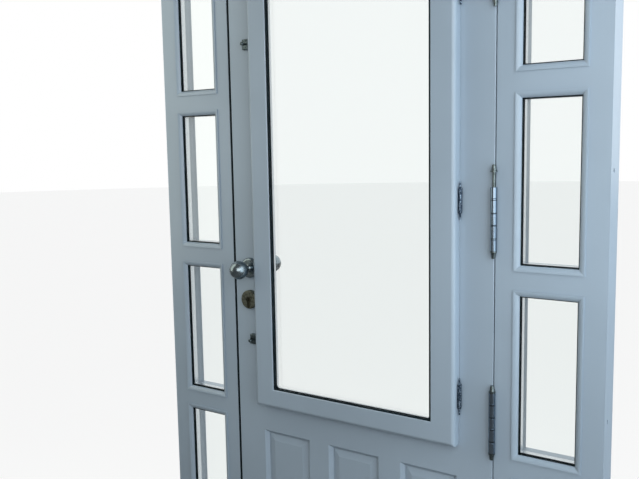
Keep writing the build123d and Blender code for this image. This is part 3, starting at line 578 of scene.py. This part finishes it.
class DOORSET_OT_finish_metal(bpy.types.Operator):
    """Finish the hinges, catches, knobs and lock"""
    bl_idname = "doorset.finish_metal"
    bl_label = "Finish Metal"

    def execute(self, context):
        metals = context.scene.doorset_metals
        dress(HINGE_NODES, metal(
            "plated_steel", metals.hinge, roughness=0.22, patch_scale=12, tarnish=0.2,
            scratch=FINE_SCRATCH, rings=knuckle_joints(metals.knuckles)))
        dress(PIN_NODES, metal(
            "aged_steel", metals.pins, roughness=0.3, patch_scale=150, tarnish=0.5))
        dress(SASH_HINGE_NODES, speckled_metal(
            "speckled_iron", dark=metals.sash_hinge, bright=scaled(metals.hinge, 1.4)))
        dress(CATCH_NODES, metal(
            "dark_iron", metals.iron, roughness=0.45, patch_scale=190, tarnish=0.6))
        dress(CHROME_NODES, metal(
            "chrome_plate", metals.chrome, roughness=0.28, patch_scale=40, tarnish=0.2,
            scratch=FINE_SCRATCH))
        dress(BRONZE_NODES, metal(
            "aged_bronze", metals.bronze, roughness=0.52, patch_scale=160, tarnish=0.55))
        dress(BRASS_NODES, metal(
            "dull_brass", metals.brass, roughness=0.35, patch_scale=120, tarnish=0.4))
        dress(STEEL_NODES, metal(
            "plain_steel", metals.steel, roughness=0.33, patch_scale=50, tarnish=0.25,
            stretch=STEEL_GRAIN))
        return {"FINISHED"}


class DOORSET_OT_drive_screws(bpy.types.Operator):
    """Make the countersunk screws with their cross recesses"""
    bl_idname = "doorset.drive_screws"
    bl_label = "Drive Screws"

    def execute(self, context):
        metals = context.scene.doorset_metals
        steel = metal("screw_steel", metals.steel, roughness=0.3, patch_scale=200, tarnish=0.3)
        iron = metal("screw_iron", metals.iron, roughness=0.4, patch_scale=200, tarnish=0.3)
        for node, material in (("frame_screws", steel), ("leaf_screws", steel),
                               ("catch_screws", iron)):
            mesh = bmesh.new()
            for points in islands(node):
                add_screw(mesh, points, context.scene.doorset_screws)
            piece = finished_piece(node + "_driven", mesh, material, body_of(node))
            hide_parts(node)
        return {"FINISHED"}


def screw_facts(points):
    """(head centre, unit vector into the wood, head radius, shank radius, length)."""
    low = Vector(min(p[i] for p in points) for i in range(3))
    high = Vector(max(p[i] for p in points) for i in range(3))
    axis = max(range(3), key=lambda i: high[i] - low[i])
    unit = Vector(float(i == axis) for i in range(3))
    length = high[axis] - low[axis]
    middle = (low + high) / 2

    def radius(ring):
        return max(((p - middle) - (p - middle)[axis] * unit).length for p in ring)

    first = radius([p for p in points if p[axis] < low[axis] + END_REACH])
    last = radius([p for p in points if p[axis] > high[axis] - END_REACH])
    inward = unit if first > last else -unit
    return middle - inward * length / 2, inward, max(first, last), min(first, last), length


def add_screw(mesh, points, settings):
    """Add a countersunk screw with a cross recess, in the place of a plain one."""
    head, inward, radius, shank, length = screw_facts(points)
    cone = radius - shank
    point = radius
    screw = bmesh.new()
    bmesh.ops.create_circle(screw, cap_ends=True, radius=radius, segments=SCREW_SIDES)
    rim = screw.edges[:]
    rim = drawn_out(screw, rim, cone, shrink=shank / radius)
    rim = drawn_out(screw, rim, length - cone - point, shrink=1)
    rim = drawn_out(screw, rim, point, shrink=POINT_SHARE)
    bmesh.ops.contextual_create(screw, geom=rim)
    press_cross(screw, radius, settings)
    turn = Vector((0, 0, -1)).rotation_difference(inward).to_matrix().to_4x4()
    bmesh.ops.transform(screw, matrix=Matrix.Translation(head) @ turn, verts=screw.verts)
    data = bpy.data.meshes.new("screw")
    screw.to_mesh(data)
    screw.free()
    mesh.from_mesh(data)
    bpy.data.meshes.remove(data)


def drawn_out(mesh, edges, length, shrink):
    """Extrude a ring of edges down by a length, and return the new ring."""
    made = bmesh.ops.extrude_edge_only(mesh, edges=edges)["geom"]
    ring = [item for item in made if isinstance(item, bmesh.types.BMVert)]
    bmesh.ops.translate(mesh, vec=(0, 0, -length), verts=ring)
    bmesh.ops.scale(mesh, vec=(shrink, shrink, 1), verts=ring)
    return [item for item in made if isinstance(item, bmesh.types.BMEdge)
            and all(vertex in ring for vertex in item.verts)]


def of_the_head(items):
    """The faces or edges that lie on a screw's flat head, which is at Z = 0."""
    return [item for item in items if all(abs(v.co.z) < FLAT for v in item.verts)]


def press_cross(mesh, radius, settings):
    """Press a cross recess into the head of a screw that points down from Z = 0."""
    half = settings.recess_width / 2
    reach = settings.recess_reach * radius
    for axis in (Vector((1, 0, 0)), Vector((0, 1, 0))):
        for place in (-reach, -half, half, reach):
            corners = [vertex for vertex in mesh.verts if abs(vertex.co.z) < FLAT]
            flat = [*of_the_head(mesh.faces), *of_the_head(mesh.edges), *corners]
            bmesh.ops.bisect_plane(mesh, geom=flat, dist=FLAT, plane_co=axis * place,
                                   plane_no=axis)
    chosen = []
    for face in of_the_head(mesh.faces):
        near, far = sorted(abs(c) for c in face.calc_center_median().xy)
        if near < half and far < reach:
            chosen.append(face)
    pressed = bmesh.ops.extrude_face_region(mesh, geom=chosen)["geom"]
    bmesh.ops.delete(mesh, geom=chosen, context="FACES")
    floor = [item for item in pressed if isinstance(item, bmesh.types.BMVert)]
    bmesh.ops.translate(mesh, vec=(0, 0, -settings.recess_depth), verts=floor)
    bmesh.ops.scale(mesh, vec=(RECESS_TAPER, RECESS_TAPER, 1), verts=floor)


class DOORSET_OT_build_studio(bpy.types.Operator):
    """Build the floor, the light and the camera"""
    bl_idname = "doorset.build_studio"
    bl_label = "Build Studio"

    def execute(self, context):
        studio = context.scene.doorset_studio
        build_floor(studio)
        build_world(studio)
        build_lamps(studio)
        build_camera(studio)
        context.scene.view_settings.view_transform = "Standard"
        return {"FINISHED"}


def build_floor(studio):
    """A wide floor that the camera sees as nearly white and that sends little light up."""
    mesh = bmesh.new()
    bmesh.ops.create_circle(mesh, cap_ends=True, radius=FLOOR_RADIUS, segments=FLOOR_SIDES)
    data = bpy.data.meshes.new("floor")
    mesh.to_mesh(data)
    mesh.free()
    floor = bpy.data.objects.new("floor", data)
    bpy.context.scene.collection.objects.link(floor)
    data.materials.append(floor_paint(studio))


def floor_paint(studio):
    """Pale paint that fades into the white for the camera and is dim for other rays."""
    material, tree, shader = new_material("floor_paint")
    clouds = noise(tree, object_coordinates(tree, EVEN), scale=1.3, detail=5.0)
    shade = scaled(studio.floor, 0.985)
    dim = scaled(studio.floor, 0.2)
    tone = mix_colours(tree, remap(tree, clouds, NOISE_SPAN), shade, studio.floor)
    direct = seen_directly(tree)
    tone = mix_colours(tree, direct, dim, tone)
    feed(tree, shader, {"Base Color": tone, "Roughness": 0.7})
    glow = tree.nodes.new("ShaderNodeEmission")
    feed(tree, glow, {"Strength": 1.0})
    mixer = tree.nodes.new("ShaderNodeMixShader")
    share = calculate(tree, "MULTIPLY", direct, studio.paleness)
    feed(tree, mixer, {"Fac": share, 1: shader.outputs["BSDF"], 2: glow.outputs["Emission"]})
    output = next(node for node in tree.nodes if node.type == "OUTPUT_MATERIAL")
    tree.links.new(mixer.outputs["Shader"], output.inputs["Surface"])
    return material


def seen_directly(tree):
    """1 for rays that come from the camera, also through glass."""
    path = tree.nodes.new("ShaderNodeLightPath")
    return calculate(tree, "MAXIMUM", path.outputs["Is Camera Ray"],
                     path.outputs["Is Transmission Ray"])


def build_world(studio):
    """White for the camera; light from outdoors, and from a room that is lighter on the right."""
    world = bpy.data.worlds.new("studio")
    bpy.context.scene.world = world
    world.use_nodes = True
    tree = world.node_tree
    tree.nodes.clear()
    output = tree.nodes.new("ShaderNodeOutputWorld")
    light = tree.nodes.new("ShaderNodeBackground")
    backdrop = tree.nodes.new("ShaderNodeBackground")
    mixer = tree.nodes.new("ShaderNodeMixShader")
    direction = tree.nodes.new("ShaderNodeTexCoord")
    split = tree.nodes.new("ShaderNodeSeparateXYZ")
    feed(tree, split, {"Vector": direction.outputs["Generated"]})
    side = remap(tree, split.outputs["X"], SIDE_SPAN, low=studio.room_left,
                 high=studio.room_right)
    rise = remap(tree, split.outputs["Z"], RISE_SPAN, low=studio.room_below)
    outward = remap(tree, split.outputs["Y"], OUTWARD_SPAN)
    room = calculate(tree, "MULTIPLY", side, rise)
    strength = mix_numbers(tree, outward, room, studio.outdoors)
    feed(tree, light, {"Color": SKY, "Strength": strength})
    feed(tree, backdrop, {"Color": WHITE})
    feed(tree, mixer, {"Fac": seen_directly(tree), 1: light.outputs["Background"],
                       2: backdrop.outputs["Background"]})
    tree.links.new(mixer.outputs["Shader"], output.inputs["Surface"])


def build_lamps(studio):
    """A broad light round the camera, a tall one on the right and a narrow one on the left."""
    # Name, power, place, width and height, colour
    lamps = (
        ("front_light", studio.front_power, (1.0, -1.7, 1.6), (1.7, 1.3), (1.0, 1.0, 0.97)),
        ("right_light", studio.right_power, (1.4, -0.45, 1.45), (1.1, 2.0), (0.82, 0.93, 1.0)),
        ("left_light", studio.left_power, (-1.25, -0.6, 1.7), (0.8, 1.8), (1.0, 1.0, 0.85)),
    )
    for name, power, place, size, colour in lamps:
        light = bpy.data.lights.new(name, "AREA")
        light.shape = "RECTANGLE"
        light.size, light.size_y = size
        light.energy = power
        light.color = colour
        lamp = bpy.data.objects.new(name, light)
        bpy.context.scene.collection.objects.link(lamp)
        lamp.visible_camera = False
        lamp.visible_transmission = False
        lamp.location = place
        lamp.rotation_mode = "QUATERNION"
        lamp.rotation_quaternion = (LAMP_AIM - lamp.location).to_track_quat("-Z", "Y")


def build_camera(studio):
    """A camera that stands, turns, dips and rolls as the settings say."""
    data = bpy.data.cameras.new("camera")
    data.lens = studio.lens
    data.sensor_width = 36
    data.clip_start = 0.01
    data.clip_end = 200
    camera = bpy.data.objects.new("camera", data)
    bpy.context.scene.collection.objects.link(camera)
    turn, dip, roll = studio.camera_turn, studio.camera_dip, studio.camera_roll
    forward = Vector((-sin(turn) * cos(dip), cos(turn) * cos(dip), -sin(dip)))
    level = Vector((cos(turn), sin(turn), 0))
    down = forward.cross(level)
    right = level * cos(roll) + down * sin(roll)
    down = down * cos(roll) - level * sin(roll)
    camera.matrix_world = Matrix((
        (right.x, -down.x, -forward.x, studio.camera_place[0]),
        (right.y, -down.y, -forward.y, studio.camera_place[1]),
        (right.z, -down.z, -forward.z, studio.camera_place[2]),
        (0, 0, 0, 1),
    ))
    bpy.context.scene.camera = camera


OPERATORS = (
    DOORSET_OT_paint_timber,
    DOORSET_OT_glaze,
    DOORSET_OT_finish_metal,
    DOORSET_OT_drive_screws,
    DOORSET_OT_build_studio,
)
SETTINGS = {
    "doorset_paint": PaintSettings,
    "doorset_glazing": GlazingSettings,
    "doorset_metals": MetalSettings,
    "doorset_screws": ScrewSettings,
    "doorset_studio": StudioSettings,
}


class DOORSET_PT_panel(bpy.types.Panel):
    """Lists the steps that dress the door set"""
    bl_label = "Door Set"
    bl_idname = "DOORSET_PT_panel"
    bl_space_type = "VIEW_3D"
    bl_region_type = "UI"
    bl_category = "Door Set"

    def draw(self, context):
        for operator in OPERATORS:
            self.layout.operator(operator.bl_idname)
        for name in SETTINGS:
            group = getattr(context.scene, name)
            box = self.layout.box()
            for key in group.bl_rna.properties.keys():
                if key not in ("rna_type", "name"):
                    box.prop(group, key)


def register():
    for name, settings in SETTINGS.items():
        bpy.utils.register_class(settings)
        setattr(bpy.types.Scene, name, bpy.props.PointerProperty(type=settings))
    for operator in OPERATORS:
        bpy.utils.register_class(operator)
    bpy.utils.register_class(DOORSET_PT_panel)


def unregister():
    bpy.utils.unregister_class(DOORSET_PT_panel)
    for operator in reversed(OPERATORS):
        bpy.utils.unregister_class(operator)
    for name, settings in SETTINGS.items():
        delattr(bpy.types.Scene, name)
        bpy.utils.unregister_class(settings)


def main():
    register()
    bpy.ops.doorset.paint_timber()
    bpy.ops.doorset.glaze()
    bpy.ops.doorset.finish_metal()
    bpy.ops.doorset.drive_screws()
    bpy.ops.doorset.build_studio()


if __name__ == "__main__":
    main()
